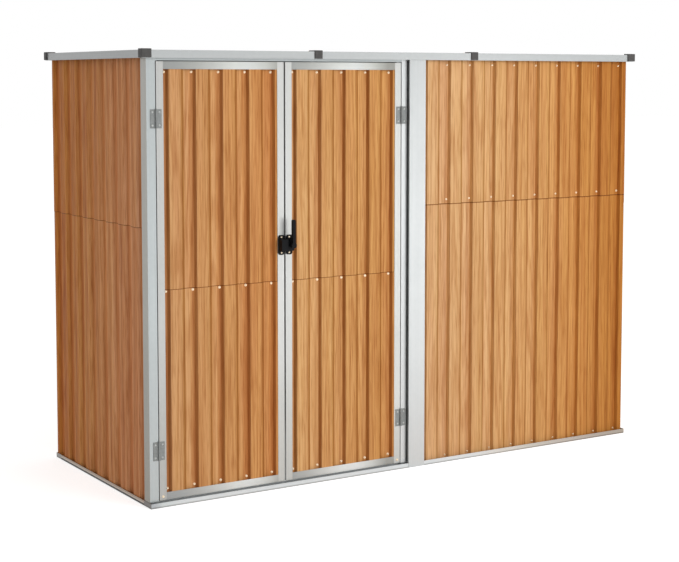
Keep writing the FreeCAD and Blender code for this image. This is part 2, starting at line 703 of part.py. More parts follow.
def hinge_leaf(label, axis_x, sign, middle, knuckles):
    """A leaf reaching from the axis along sign; knuckles are (low, high) stations about its middle."""
    body = new_body(label)
    near = shift(axis_x, sign, "knuckle_radius + knuckle_clear")
    far = shift(axis_x, sign, "leaf_width")
    pad(body, "Y", f"({FRONT} - leaf_sheet)", "leaf_sheet",
        rectangle(near, far, f"{middle} - hinge_height / 2", f"{middle} + hinge_height / 2"))
    back = f"({AXIS_Y} + knuckle_radius)"
    for low, high in knuckles:
        start = f"({middle} + {low})"
        tongue = rectangle(axis_x, near, f"({FRONT} - leaf_sheet)", back)
        pad(body, "Z", start, span(low, high), tongue)
        pad(body, "Z", start, span(low, high), ((axis_x, AXIS_Y), "knuckle_radius"))
    pocket(body, "Z", f"({middle} - hinge_height / 2)", "hinge_height",
           ((axis_x, AXIS_Y), "pin_radius + running_gap"))
    return body


def hinge_pin(label, axis_x, middle):
    body = new_body(label)
    pad(body, "Z", f"({middle} - hinge_height / 2)", "hinge_height", ((axis_x, AXIS_Y), "pin_radius"))
    pad(body, "Z", f"({middle} + hinge_height / 2)", "pin_head", ((axis_x, AXIS_Y), "pin_head_radius"))
    return body


frame_leaves = []
pins = []
for door_name, (axis_x, side) in HINGES.items():
    door_leaves = []
    for middle in HINGE_HEIGHTS:
        outer = [("-hinge_height / 2", f"-{KNUCKLE} / 2 - fit_gap"),
                 (f"{KNUCKLE} / 2 + fit_gap", "hinge_height / 2")]
        inner = [(f"-{KNUCKLE} / 2", f"{KNUCKLE} / 2")]
        frame_leaves.append(hinge_leaf("frame_leaf", axis_x, side, middle, outer))
        door_leaves.append(hinge_leaf("door_leaf", axis_x, -side, middle, inner))
        pins.append(hinge_pin("pin", axis_x, middle))
    group(f"{door_name}_hinge_leaves", door_leaves)
group("hinge_frame_leaves", frame_leaves)
group("hinge_pins", pins)


# Turn latch: a keeper block on the left door, a body with the spindle's bearing on the right door, a lever
# that stands off the door, and a cam on the spindle that swings into the keeper's slot.
SPINDLE_X = f"({RIGHT_EDGE} + latch_plate_width / 2)"
CAM_BACK = "(latch_block_depth + cam_clear)"
KEEPER_DEPTH = f"({CAM_BACK} + cam_sheet + cam_clear + keeper_wall)"
LEVER_BACK = f"({KEEPER_DEPTH} + cam_clear)"
HALF_PLATE = "(latch_plate_height / 2)"
HALF_BLOCK = "(latch_block_height / 2)"


def along_y(edge):
    """Whether an edge is straight and runs from front to back."""
    return edge.Curve.TypeId == "Part::GeomLine" and abs(abs(edge.tangentAt(0).y) - 1) < 1e-6


def block_edges(body, outermost):
    """The long edges of a latch block on the side away from the other door."""
    least = 2 * SIZES["latch_plate"]
    edges = [edge for edge in body.Tip.Shape.Edges if along_y(edge) and edge.Length > least]
    side = outermost(edge.CenterOfMass.x for edge in edges)
    return lambda edge: any(edge.isSame(found) for found in edges) and abs(edge.CenterOfMass.x - side) < 1e-6


def latch_base(label, start, block, depth):
    """A screwed plate with rounded corners, and the block on it between two stations across the doors."""
    body = new_body(label)
    pad(body, "Y", f"({FRONT} - latch_plate)", "latch_plate",
        rectangle(start, f"({start} + latch_plate_width)", f"latch_height - {HALF_PLATE}",
                  f"latch_height + {HALF_PLATE}"))
    fillet(body, "min(latch_corner; latch_plate_width * 0.45)", along_y)
    pad(body, "Y", f"({FRONT} - {depth})", f"{depth} - latch_plate",
        rectangle(*block, f"latch_height - {HALF_BLOCK}", f"latch_height + {HALF_BLOCK}"))
    return body


def latch_keeper():
    plate = f"({LEFT_EDGE} + meeting_gap / 3 - latch_plate_width)"
    block = (f"({plate} + latch_inset)", f"({LEFT_EDGE} + meeting_gap / 2 - block_gap / 2)")
    body = latch_base("latch_keeper", plate, block, KEEPER_DEPTH)
    fillet(body, "block_round", block_edges(body, min))
    slot_end = f"({SPINDLE_X} - cam_reach - cam_clear)"
    slot_low = "(latch_height - cam_width / 2 - cam_clear)"
    slot_high = f"(latch_height + {HALF_BLOCK} + cam_clear)"
    pocket(body, "Y", f"({FRONT} - {KEEPER_DEPTH} + keeper_wall)", "cam_sheet + 2 * cam_clear",
           rectangle(slot_end, SPINDLE_X, slot_low, slot_high))
    finish(body)


def latch_body():
    block = (f"({RIGHT_EDGE} - meeting_gap / 2 + block_gap / 2)",
             f"({RIGHT_EDGE} + latch_plate_width - latch_inset)")
    body = latch_base("latch_body", RIGHT_EDGE, block, "latch_block_depth")
    fillet(body, "block_round", block_edges(body, max))
    pocket(body, "Y", f"({FRONT} - latch_block_depth)", "latch_block_depth",
           ((SPINDLE_X, "latch_height"), "spindle_radius + running_gap"))
    finish(body)


def latch_cam():
    body = new_body("latch_cam")
    start = f"({FRONT} - {CAM_BACK} - cam_sheet)"
    pad(body, "Y", start, "cam_sheet", ((SPINDLE_X, "latch_height"), "cam_hub_radius"))
    pad(body, "Y", start, "cam_sheet",
        rectangle(f"{SPINDLE_X} - cam_width / 2", f"{SPINDLE_X} + cam_width / 2", "latch_height",
                  "latch_height + cam_reach"))
    pocket(body, "Y", start, "cam_sheet", ((SPINDLE_X, "latch_height"), "spindle_radius + running_gap"))
    finish(body)


def latch_lever():
    body = new_body("latch_lever")
    start = f"({FRONT} - {LEVER_BACK} - lever_sheet)"
    pad(body, "Y", start, "lever_sheet",
        rectangle(f"{SPINDLE_X} - lever_width / 2", f"{SPINDLE_X} + lever_width / 2", "latch_height",
                  "latch_height + lever_reach"))
    hub = SIZES["latch_height"] + SIZES["lever_hub_radius"]
    fillet(body, "min(lever_round; lever_width * 0.45)",
           lambda edge: along_y(edge) and edge.CenterOfMass.z > hub)
    pad(body, "Y", start, "lever_sheet", ((SPINDLE_X, "latch_height"), "lever_hub_radius"))
    pad(body, "Y", f"({FRONT} - {LEVER_BACK})", f"{LEVER_BACK} - running_gap",
        ((SPINDLE_X, "latch_height"), "spindle_radius"))
    finish(body)


latch_keeper()
latch_body()
latch_cam()
latch_lever()


# Roof: ribbed sheets in three bays resting on the rail shelves, folded fascias round the rim in three lengths
# along the front and back, ribs under the joints, strips over them, and plastic caps on corners and joints.
ROOF_X = "(base_length / 2 + side_overhang)"
ROOF_Y = "(base_depth / 2 + front_overhang)"
JOINTS = (f"(roof_left_bay - {ROOF_X})", f"({ROOF_X} - roof_right_bay)")
RIM = "(frame_sheet + panel_gap)"
BAYS = {"left": (f"(-{ROOF_X})", JOINTS[0]), "centre": JOINTS, "right": (JOINTS[1], ROOF_X)}


def fascia_section(outer, sign):
    """Channel open to the inside, with a long top flange over the sheet and a short one below."""
    face_in = shift(outer, sign, "frame_sheet")
    leg = shift(outer, sign, "fascia_leg")
    foot = shift(outer, sign, "fascia_foot")
    return [(outer, FASCIA_LOW), (foot, FASCIA_LOW), (foot, f"{FASCIA_LOW} + frame_sheet"),
            (face_in, f"{FASCIA_LOW} + frame_sheet"), (face_in, f"{FASCIA_TOP} - frame_sheet"),
            (leg, f"{FASCIA_TOP} - frame_sheet"), (leg, FASCIA_TOP), (outer, FASCIA_TOP)]


def long_fascia(label, outer, sign):
    lengths = []
    for bay, (start, end) in BAYS.items():
        body = new_body(f"{label}_{bay}")
        run = (f"({start} + panel_gap)", f"({end} - panel_gap)")
        pad(body, "X", run[0], span(*run), fascia_section(outer, sign))
        lengths.append(body)
    group(label, lengths)


def side_fascia(label, outer, sign):
    body = new_body(label)
    half = f"({ROOF_Y} - fascia_leg - panel_gap)"
    pad(body, "Y", f"-{half}", f"2 * {half}", fascia_section(outer, sign))
    finish(body)


def roof_sheets():
    sheets = []
    edge = f"({ROOF_Y} - {RIM})"
    for bay, (start, end) in BAYS.items():
        low = f"({start} + {RIM})" if bay == "left" else f"({start} + panel_gap)"
        high = f"({end} - {RIM})" if bay == "right" else f"({end} - panel_gap)"
        sheets.append(ribbed_sheet(f"roof_{bay}", "X", "Y", facing(ROOF_TOP, -1, "0"), (low, high),
                                   (f"(-{edge})", edge), "wall_rib_pitch",
                                   (f"({low} + roof_rib_lead)", high)))
    group("roof_panels", sheets)


def roof_rib(joint):
    body = new_body("roof_rib")
    low_x = f"({joint} - roof_rib_width / 2)"
    high_x = f"({joint} + roof_rib_width / 2)"
    low = f"({POST_TOP} - roof_rib_height)"
    web_in = f"{low_x} + frame_sheet"
    foot = f"{low} + frame_sheet"
    head = f"{POST_TOP} - frame_sheet"
    section = [(low_x, low), (high_x, low), (high_x, foot), (web_in, foot), (web_in, head), (high_x, head),
               (high_x, POST_TOP), (low_x, POST_TOP)]
    run = (f"({FRONT} + {POST})", f"({BACK} - {POST})")
    pad(body, "Y", run[0], span(*run), section)
    return body


def cover_strip(joint):
    body = new_body("cover_strip")
    half = f"({ROOF_Y} - fascia_leg - panel_gap)"
    low = f"({ROOF_TOP} + panel_gap)"
    pad(body, "Y", f"-{half}", f"2 * {half}",
        rectangle(f"{joint} - cover_strip_width / 2", f"{joint} + cover_strip_width / 2", low,
                  f"{low} + frame_sheet"))
    return body


def outer_edges(body, side, face):
    """Test for the edges where two outer faces of a cap meet; side 0 takes both ends across X."""
    box = body.Shape.BoundBox
    ends = {-1: [box.XMin], 0: [box.XMin, box.XMax], 1: [box.XMax]}[side]
    front = box.YMax if face > 0 else box.YMin

    def wanted(edge):
        centre = edge.CenterOfMass
        on_end = any(abs(centre.x - end) < 1e-6 for end in ends)
        on_front = abs(centre.y - front) < 1e-6
        on_top = abs(centre.z - box.ZMax) < 1e-6
        return on_end + on_front + on_top == 2
    return wanted


def corner_cap(side, face):
    """Moulded corner that closes the fascia ends: two walls and a top."""
    body = new_body("corner_cap")
    x_out = shift("0", side, f"{ROOF_X} + fit_gap + cap_sheet")
    y_out = shift("0", face, f"{ROOF_Y} + fit_gap + cap_sheet")
    x_wall = shift("0", side, f"{ROOF_X} + fit_gap")
    y_wall = shift("0", face, f"{ROOF_Y} + fit_gap")
    x_end = shift("0", side, f"{ROOF_X} - cap_leg")
    y_end = shift("0", face, f"{ROOF_Y} - cap_side_leg")
    under = f"({FASCIA_TOP} + fit_gap)"
    walls = [(x_out, y_out), (x_end, y_out), (x_end, y_wall), (x_wall, y_wall), (x_wall, y_end),
             (x_out, y_end)]
    pad(body, "Z", "(shed_height - cap_drop)", span("(shed_height - cap_drop)", under), walls)
    pad(body, "Z", under, "cap_sheet", [(x_out, y_out), (x_end, y_out), (x_end, y_end), (x_out, y_end)])
    fillet(body, "cap_round", outer_edges(body, side, face))
    return body


def joint_cap(joint, face):
    """Moulded clip over a fascia joint: a face and a top that reaches back over the roof."""
    body = new_body("joint_cap")
    outer = shift("0", face, f"{ROOF_Y} + fit_gap + cap_sheet")
    wall = shift("0", face, f"{ROOF_Y} + fit_gap")
    end = shift("0", face, f"{ROOF_Y} - joint_cap_leg")
    under = f"({FASCIA_TOP} + fit_gap)"
    low = "(shed_height - cap_drop)"
    section = [(outer, low), (wall, low), (wall, under), (end, under), (end, "shed_height"),
               (outer, "shed_height")]
    pad(body, "X", f"({joint} - joint_cap_width / 2)", "joint_cap_width", section)
    fillet(body, "cap_round", outer_edges(body, 0, face))
    return body


long_fascia("fascia_front", f"(-{ROOF_Y})", 1)
long_fascia("fascia_back", ROOF_Y, -1)
side_fascia("fascia_left", f"(-{ROOF_X})", 1)
side_fascia("fascia_right", ROOF_X, -1)
roof_sheets()
group("roof_ribs", [roof_rib(joint) for joint in JOINTS])
group("roof_cover_strips", [cover_strip(joint) for joint in JOINTS])
group("roof_corner_caps", [corner_cap(side, face) for side in (-1, 1) for face in (-1, 1)])
group("roof_joint_caps", [joint_cap(joint, face) for joint in JOINTS for face in (-1, 1)])


# Every object has to be sound before anything is written.
doc.recompute()
for item in doc.Objects:
    if "Invalid" in item.State or "Error" in item.State:
        raise RuntimeError(f"{item.Label} did not build: {item.State}")
for label, item in nodes.items():
    if item.Shape.isNull() or not item.Shape.isValid():
        raise RuntimeError(f"{label} has no sound shape")

os.makedirs("parts", exist_ok=True)
for label, item in nodes.items():
    item.Shape.exportStep(f"parts/{label}.step")
    print(label, len(item.Shape.Solids), "solids", round(item.Shape.Volume), "mm3")
print(len(nodes), "nodes")
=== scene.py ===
import math

import bpy
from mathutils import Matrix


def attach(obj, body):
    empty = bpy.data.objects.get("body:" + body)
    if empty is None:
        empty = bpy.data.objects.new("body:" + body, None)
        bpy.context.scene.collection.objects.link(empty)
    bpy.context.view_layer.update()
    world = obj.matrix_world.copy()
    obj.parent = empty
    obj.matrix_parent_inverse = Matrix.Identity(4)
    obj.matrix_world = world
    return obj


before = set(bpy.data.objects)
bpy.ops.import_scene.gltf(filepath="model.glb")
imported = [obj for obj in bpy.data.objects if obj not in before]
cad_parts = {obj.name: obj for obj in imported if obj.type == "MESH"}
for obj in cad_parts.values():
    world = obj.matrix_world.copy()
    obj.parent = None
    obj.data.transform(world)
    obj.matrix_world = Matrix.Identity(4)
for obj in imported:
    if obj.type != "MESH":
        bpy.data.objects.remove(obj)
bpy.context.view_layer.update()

# Base rails.
# Four channels folded from zinc-coated strip lie on the ground under the walls and are bolted down through
# their feet. The strip was rolled and hot-dip galvanised, so it is a dull silver with faint rolling lines.
MM = 0.001
X, Y, Z = 0, 1, 2
LEFTWARD = (-1, 0, 0)


def ends(name, axis):
    """First and last station of a CAD node along an axis, in mm."""
    stations = [vertex.co[axis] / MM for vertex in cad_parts[name].data.vertices]
    return min(stations), max(stations)


def linear(code):
    """Linear colour of an sRGB hex code."""
    channels = [int(code[i:i + 2], 16) / 255 for i in (1, 3, 5)]
    return [c / 12.92 if c <= 0.04045 else ((c + 0.055) / 1.055) ** 2.4 for c in channels] + [1.0]


def add(tree, kind, inputs, **settings):
    """Adds a node: an input given as a socket is linked, any other value is set on it."""
    node = tree.nodes.new(kind)
    for name, value in settings.items():
        setattr(node, name, value)
    for name, value in inputs.items():
        if isinstance(value, bpy.types.NodeSocket):
            tree.links.new(value, node.inputs[name])
        else:
            node.inputs[name].default_value = value
    return node


def empty_material(name):
    """A new material and its tree, which has no nodes yet."""
    material = bpy.data.materials.new(name)
    material.use_nodes = True
    material.node_tree.nodes.clear()
    return material, material.node_tree


def tinted(tree, colour, station, stops, length, amount=1.0):
    """The colour multiplied by a tint that changes along station, which runs from 0 to 1 over this length;
    the tint is a ground tone, painted shade or a painted highlight. stops are (distance, sRGB code), and
    amount is
    1 where the tint lies."""
    ramp = add(tree, "ShaderNodeValToRGB", {"Fac": station})
    for i, (distance, code) in enumerate(stops):
        stop = ramp.color_ramp.elements[i] if i < 2 else ramp.color_ramp.elements.new(1.0)
        stop.position = distance / length
        stop.color = linear(code)
    return add(tree, "ShaderNodeMix", {0: amount, 6: colour, 7: ramp.outputs["Color"]}, data_type="RGBA",
               blend_type="MULTIPLY").outputs[2]


# Above this cosine, a face counts as turned towards a direction.
FACING = 0.7


def galvanised_steel(name, dull, bright, run, bands=()):
    """Rolled zinc-coated strip: satin silver, with rolling lines along the axis run and faint zinc crystals.
    Each of the bands paints shade, a highlight or a reflection onto it: its axis, its first and last station
    in mm, its stops in mm from the first, and the direction of the faces that it lies on, or None for all."""
    material, tree = empty_material(name)
    source = add(tree, "ShaderNodeTexCoord", {})
    place = source.outputs["Object"]
    # Rolling lines 7 mm apart and 0.9 m long; real ones are finer and would not show.
    rolling = [1 / (7 * MM)] * 3
    rolling[run] = 1 / (900 * MM)
    drawn = add(tree, "ShaderNodeMapping", {"Vector": place, "Scale": rolling}).outputs["Vector"]
    lines = add(tree, "ShaderNodeTexNoise", {"Vector": drawn, "Scale": 1.0, "Detail": 2.0}).outputs["Fac"]
    # Zinc crystals, drawn 16 mm wide so that they show.
    crystals = add(tree, "ShaderNodeTexVoronoi", {
        "Vector": place, "Scale": 1 / (16 * MM)}).outputs["Distance"]
    # Patches of thicker and thinner zinc, about 0.3 m across.
    patches = add(tree, "ShaderNodeTexNoise", {"Vector": place, "Scale": 1 / (300 * MM)}).outputs["Fac"]
    tone = 0.0
    for pattern, weight in ((lines, 0.5), (crystals, 0.15), (patches, 0.4)):
        tone = add(tree, "ShaderNodeMath", {0: pattern, 1: weight, 2: tone},
                   operation="MULTIPLY_ADD").outputs[0]
    colour = add(tree, "ShaderNodeMix", {0: tone, 6: linear(dull), 7: linear(bright)},
                 data_type="RGBA").outputs[2]
    for axis, first, last, stops, facing in bands:
        station = add(tree, "ShaderNodeSeparateXYZ", {"Vector": place}).outputs[axis]
        station = add(tree, "ShaderNodeMapRange", {"Value": station, "From Min": first * MM,
                                                   "From Max": last * MM}).outputs["Result"]
        amount = 1.0
        if facing:
            turned = add(tree, "ShaderNodeVectorMath", {0: source.outputs["Normal"], 1: facing},
                         operation="DOT_PRODUCT").outputs["Value"]
            amount = add(tree, "ShaderNodeMath", {0: turned, 1: FACING}, operation="GREATER_THAN").outputs[0]
        colour = tinted(tree, colour, station, stops, last - first, amount)
    rough = add(tree, "ShaderNodeMapRange", {"Value": tone, "From Min": 0.3, "From Max": 0.7, "To Min": 0.36,
                                             "To Max": 0.28}).outputs["Result"]
    relief = add(tree, "ShaderNodeBump", {"Height": lines, "Strength": 0.08, "Distance": 0.2 * MM})
    shader = add(tree, "ShaderNodeBsdfPrincipled", {
        "Base Color": colour, "Metallic": 0.55, "Roughness": rough, "Normal": relief.outputs["Normal"]})
    add(tree, "ShaderNodeOutputMaterial", {"Surface": shader.outputs["BSDF"]})
    return material


def coat(material, *names):
    """Gives the CAD nodes of these names one finish."""
    for name in names:
        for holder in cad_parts[name].material_slots:
            holder.material = material


BASE_TONES = ("#C6CBCD", "#DCE0E1")
# Height of the rails' outer lip, in mm.
LIP_HEIGHT = 18
rail_start, rail_end = ends("base_rail_front", X)
# Painted shade darkens the rails' lips along the ground.
FOOT_SHADE = (Z, 0, LIP_HEIGHT, (
    (0, "#D0CDCA"), (4.5, "#D0CDCA"), (6, "#FFFFFF"), (LIP_HEIGHT, "#FFFFFF")), None)
# Painted shade on the faces of the rails that look left.
LEFT_END_SHADE = (Z, 0, LIP_HEIGHT, ((0, "#A9A29B"), (LIP_HEIGHT, "#A9A29B")), LEFTWARD)
# Painted shade along the front rail: at its left end, and warmer on its right half under the wall.
FRONT_RAIL_SHADE = (X, rail_start, rail_end, (
    (0, "#D0D0D2"), (20, "#D8D8DA"), (45, "#F4F6F4"), (120, "#FFFFFF"), (1400, "#FFFFFF"), (1540, "#FBF3EC"),
    (1694, "#EAE2D8"), (1854, "#DED2C8"), (2074, "#CFC0B4"), (rail_end - rail_start, "#C8B8A8")), None)
coat(galvanised_steel("galvanised_base_front", *BASE_TONES, run=X, bands=(FOOT_SHADE, LEFT_END_SHADE, FRONT_RAIL_SHADE)),
     "base_rail_front")
coat(galvanised_steel("galvanised_base_back", *BASE_TONES, run=X, bands=(FOOT_SHADE, LEFT_END_SHADE)), "base_rail_back")
# The side rails are given a darker, warmer tone as painted shade, with a dark painted shadow line along the
# ground.
GROUND_SHADOW_LINE = (Z, 0, LIP_HEIGHT, (
    (0, "#332C26"), (6.5, "#332C26"), (8, "#FFFFFF"), (10.5, "#FFFFFF"), (12.5, "#DDD2C8"),
    (LIP_HEIGHT, "#DDD2C8")), None)
coat(galvanised_steel("galvanised_base_side", "#B0A69B", "#C2B8AC", run=Y, bands=(GROUND_SHADOW_LINE,)),
     "base_rail_left", "base_rail_right")

# Posts and rails.
# Angles and channels of the same strip stand on the base and carry the sheets: corner posts, door post, wide
# centre post, header over the doors, and top and mid rails. They are screwed together at their flanges.
POST_TONES = ("#A9AFB0", "#BCC2C2")
# Painted shade and highlights are set out over the height of the walls, in mm.
WALL_HEIGHT = 1600
coat(galvanised_steel("galvanised_posts", *POST_TONES, run=Z),
     "corner_post_front_right", "corner_post_back_left", "corner_post_back_right", "back_post")
# The corner post that shows outside has painted shade on its side face, most near the ground, tinted warm as
# a painted reflection.
CORNER_SIDE_SHADE_AND_REFLECTION = (Z, 0, WALL_HEIGHT, (
    (0, "#CAC1B6"), (280, "#D1C8BD"), (420, "#D6CDC3"), (560, "#DDD4CB"), (700, "#E3DAD0"), (1060, "#E8DED4"),
    (1460, "#EDE3DA"), (WALL_HEIGHT, "#EDE3DA")), LEFTWARD)
coat(galvanised_steel("galvanised_corner_post", "#AAB0B1", "#BDC3C3", run=Z, bands=(CORNER_SIDE_SHADE_AND_REFLECTION,)),
     "corner_post_front_left")
# The door post and the wide centre post are given lighter tones of the same strip: painted highlight.
coat(galvanised_steel("galvanised_door_post", "#C3C6C6", "#D3D5D5", run=Z), "door_post")
# On the wide post a painted highlight about 0.3 m up fades to painted shade at the top.
CENTRE_POST_SHEEN = (Z, 0, WALL_HEIGHT, (
    (0, "#F8F8F8"), (300, "#FFFFFF"), (460, "#FEFEFE"), (780, "#FAFAFA"), (1130, "#F4F4F4"),
    (WALL_HEIGHT, "#EEEEEE")), None)
coat(galvanised_steel("galvanised_centre_post", "#BFC3C3", "#D0D2D2", run=Z, bands=(CENTRE_POST_SHEEN,)), "centre_post")
coat(galvanised_steel("galvanised_rails_long", *POST_TONES, run=X),
     "door_header", "top_rail_front", "top_rail_back", "mid_rail_front", "mid_rail_back")
coat(galvanised_steel("galvanised_rails_side", *POST_TONES, run=Y),
     "top_rail_left", "top_rail_right", "mid_rail_left", "mid_rail_right")

# Wall sheets.
# Ribbed sheets of thin coated steel, an upper one lapped over a lower one on each wall and screwed to the
# frame. A wood grain is printed on the outside under a matt clear coat, and the inside has a pale grey coat.
FORWARD = (0, -1, 0)
BACKWARD = (0, 1, 0)
RIGHTWARD = (1, 0, 0)
# A lapped edge has a painted shadow line of this colour.
LAP_SHADOW = "#A89376"
BACKING_TONES = ("#B4B1A8", "#C9C6BE")
# Above this cosine a face of a sheet is its inside, so that the flanks of the ribs count too.
INNER_FACING = 0.2


def wood_grain(tree, colour, source, shift, run, widening):
    """Lays the grain over a colour, along the axis run, and gives the result with the finest streaks. shift
    moves the grain, as no two sheets are alike, and widening scales the width of its streaks."""
    # The grain wanders sideways by about 5 mm in each 0.8 m.
    slow = [1 / (180 * MM)] * 3
    slow[run] = 1 / (800 * MM)
    moved = add(tree, "ShaderNodeMapping", {
        "Vector": source, "Location": shift, "Scale": slow}).outputs["Vector"]
    wander = add(tree, "ShaderNodeTexNoise", {
        "Vector": moved, "Scale": 1.0, "Detail": 1.0}).outputs["Color"]
    bend = [10 * MM] * 3
    bend[run] = 0.0
    place = add(tree, "ShaderNodeVectorMath", {0: wander, 1: bend, 2: source},
                operation="MULTIPLY_ADD").outputs["Vector"]
    # Each layer: width and length of its streaks in mm, how many times they split into rings, the values at
    # which it starts and is full, and the glaze that it lays over the ground: red boards, rosy and golden
    # streaks, the arches of flat-sawn boards, growth rings and pores. Rings and pores are drawn 6.5 and
    # 4.2 mm wide, because real ones would not show.
    layers = (
        (60, 1800, 0, 0.42, 0.66, "#F6EDE8"),
        (26, 700, 0, 0.42, 0.64, "#FDFAFC"),
        (17, 450, 0, 0.45, 0.66, "#FCF9F2"),
        (75, 2200, 9, 0.0, 1.0, "#F2EAE1"),
        (6.5, 360, 0, 0.44, 0.70, "#EAE0D5"),
        (4.2, 90, 0, 0.48, 0.74, "#E3D5C6"),
    )
    for width, length, rings, low, full, glaze in layers:
        stretch = [1 / (width * widening * MM)] * 3
        stretch[run] = 1 / (length * MM)
        drawn = add(tree, "ShaderNodeMapping", {
            "Vector": place, "Location": shift, "Scale": stretch}).outputs["Vector"]
        streak = add(tree, "ShaderNodeTexNoise", {
            "Vector": drawn, "Scale": 1.0, "Detail": 0.0 if rings else 2.0}).outputs["Fac"]
        if rings:
            streak = add(tree, "ShaderNodeMath", {0: streak, 1: 2 * math.pi * rings},
                         operation="MULTIPLY").outputs[0]
            streak = add(tree, "ShaderNodeMath", {0: streak}, operation="SINE").outputs[0]
        amount = add(tree, "ShaderNodeMapRange", {
            "Value": streak, "From Min": low, "From Max": full}).outputs["Result"]
        colour = add(tree, "ShaderNodeMix", {0: amount, 6: colour, 7: linear(glaze)}, data_type="RGBA",
                     blend_type="MULTIPLY").outputs[2]
    return colour, streak


def wood_print(name, inside, shift, ribs, ground, lap, across=X, run=Z, widening=1.0):
    """Printed wood grain along the axis run, on a sheet whose inner face looks along inside. ground gives the
    stations, in mm on the axis across, between which the ground tone changes, and its tones. ribs gives the
    station of a fold, the pitch and the painted shade across one pitch. lap is the middle and half the height
    of the painted shadow line at a lapped edge. shift and widening are those of the grain."""
    material, tree = empty_material(name)
    source = add(tree, "ShaderNodeTexCoord", {})
    place = source.outputs["Object"]
    along = add(tree, "ShaderNodeSeparateXYZ", {"Vector": place}).outputs
    start, end, tones = ground
    share = add(tree, "ShaderNodeMapRange", {
        "Value": along[across], "From Min": start * MM, "From Max": end * MM}).outputs["Result"]
    colour = tinted(tree, linear("#FFFFFF"), share, list(enumerate(tones)), len(tones) - 1)
    colour, streak = wood_grain(tree, colour, place, shift, run, widening)
    # Painted shade across the ribs, repeated at each pitch.
    fold, pitch, rib_shade = ribs
    station = add(tree, "ShaderNodeMath", {0: along[across], 1: fold * MM}, operation="SUBTRACT").outputs[0]
    station = add(tree, "ShaderNodeMath", {0: station, 1: pitch * MM}, operation="DIVIDE").outputs[0]
    station = add(tree, "ShaderNodeMath", {0: station}, operation="FRACT").outputs[0]
    colour = tinted(tree, colour, station, rib_shade, pitch)
    middle, half = lap
    # Painted shadow along the lapped edge.
    edge = add(tree, "ShaderNodeMath", {0: along[Z], 1: middle * MM, 2: half * MM},
               operation="COMPARE").outputs[0]
    colour = add(tree, "ShaderNodeMix", {0: edge, 6: colour, 7: linear(LAP_SHADOW)}, data_type="RGBA",
                 blend_type="MULTIPLY").outputs[2]
    turned = add(tree, "ShaderNodeVectorMath", {0: source.outputs["Normal"], 1: inside},
                 operation="DOT_PRODUCT").outputs["Value"]
    backing = add(tree, "ShaderNodeMath", {0: turned, 1: INNER_FACING}, operation="GREATER_THAN").outputs[0]
    # The backing coat is mottled, about 90 mm across.
    mottle = add(tree, "ShaderNodeTexNoise", {
        "Vector": place, "Scale": 1 / (90 * MM), "Detail": 3.0}).outputs["Fac"]
    dark, light = BACKING_TONES
    grey = add(tree, "ShaderNodeMix", {0: mottle, 6: linear(dark), 7: linear(light)},
               data_type="RGBA").outputs[2]
    colour = add(tree, "ShaderNodeMix", {0: backing, 6: colour, 7: grey}, data_type="RGBA").outputs[2]
    rough = add(tree, "ShaderNodeMapRange", {"Value": streak, "From Min": 0.3, "From Max": 0.7, "To Min": 0.5,
                                             "To Max": 0.64}).outputs["Result"]
    relief = add(tree, "ShaderNodeBump", {"Height": streak, "Strength": 0.12, "Distance": 0.2 * MM})
    shader = add(tree, "ShaderNodeBsdfPrincipled", {
        "Base Color": colour, "Roughness": rough, "Normal": relief.outputs["Normal"], "IOR": 1.48,
        "Specular IOR Level": 0.2})
    add(tree, "ShaderNodeOutputMaterial", {"Surface": shader.outputs["BSDF"]})
    return material


# A rib's flanks each take this width, and its crest is this much wider than the floor of a trough, in mm.
FLANK = 7.5
CREST_EXTRA = 9.5


def trough_width(pitch):
    """Width of a trough's floor, in mm."""
    return (pitch - 2 * FLANK - CREST_EXTRA) / 2


def rib_shading(pitch, flank_shade, dull=("#F0E9E6", "#F0E6E0")):
    """Painted shade across one rib: a fine dark line at the fold, a clear trough that darkens towards its
    end, a darker flank and a slightly darker, warmer crest. Distances are in mm from the fold where the crest
    before the trough ends."""
    line = "#CAB88C"
    foot = FLANK + trough_width(pitch)
    return ((0, line), (9, line), (12, "#FFFFFF"), (foot - 20, "#FFFFFF"), (foot - 16, dull[0]),
            (foot - 3, dull[1]), (foot - 0.5, flank_shade), (foot + 5, flank_shade), (foot + 8, "#F9F6EE"),
            (pitch - 10, "#F9F6EE"), (pitch - 3, "#E9E2D4"), (pitch - 2, line), (pitch, line))


def side_rib_shading(pitch):
    """Painted shade across one rib of the side walls: a darker trough, a clear flank, and a crest that is
    darkest some way before its lighter edge. Distances are in mm from the fold where the crest before the
    trough ends."""
    foot = FLANK + trough_width(pitch)
    return ((0, "#EBCFB1"), (foot - 17, "#EBCFB1"), (foot - 11, "#DFC7AB"), (foot - 1, "#DFCBB5"),
            (foot + 1.5, "#F2EFEA"), (foot + 4.5, "#FFFFFF"), (foot + 7, "#FCFBF3"), (foot + 10, "#F5E6CF"),
            (pitch - 41, "#F1E0C3"), (pitch - 36, "#EAD3B2"), (pitch - 25, "#E1C9A8"),
            (pitch - 16, "#E6D3B6"), (pitch - 8, "#F0DFC8"), (pitch, "#FAE7CE"))


WALL_PITCH = 110.5
SIDE_PITCH = 109.3
WALL_RIB_SHADE = rib_shading(WALL_PITCH, "#ECDABC")
SIDE_RIB_SHADE = side_rib_shading(SIDE_PITCH)
# Along the front wall the ground tones grow paler to the left, a painted sheen, and darker and redder to the
# right, painted shade. Along the left wall they darken towards the back: painted shade.
FRONT_TONES = ("#E6BC8F", "#E2B784", "#DDAD74", "#D29856", "#BE8037")
LEFT_TONES = ("#F3BB90", "#F2B886", "#E7AA6A", "#DD9546")
RIGHT_TONES = ("#E8BD8E", "#E2B07B")
BACK_TONES = ("#DDB07B", "#DAAA74", "#D7A46B")
# Height of the painted shadow line under a lapped edge, which is taller on the front wall.
LAP_LINE = 2.4
FRONT_LAP_LINE = 3.8
# The lead is the distance from a sheet's edge to the fold before its first whole trough.
FRONT_LEAD = 73.9
LEFT_LEAD = 33.7
RIGHT_LEAD = 29.5
BACK_LEAD = 25.5
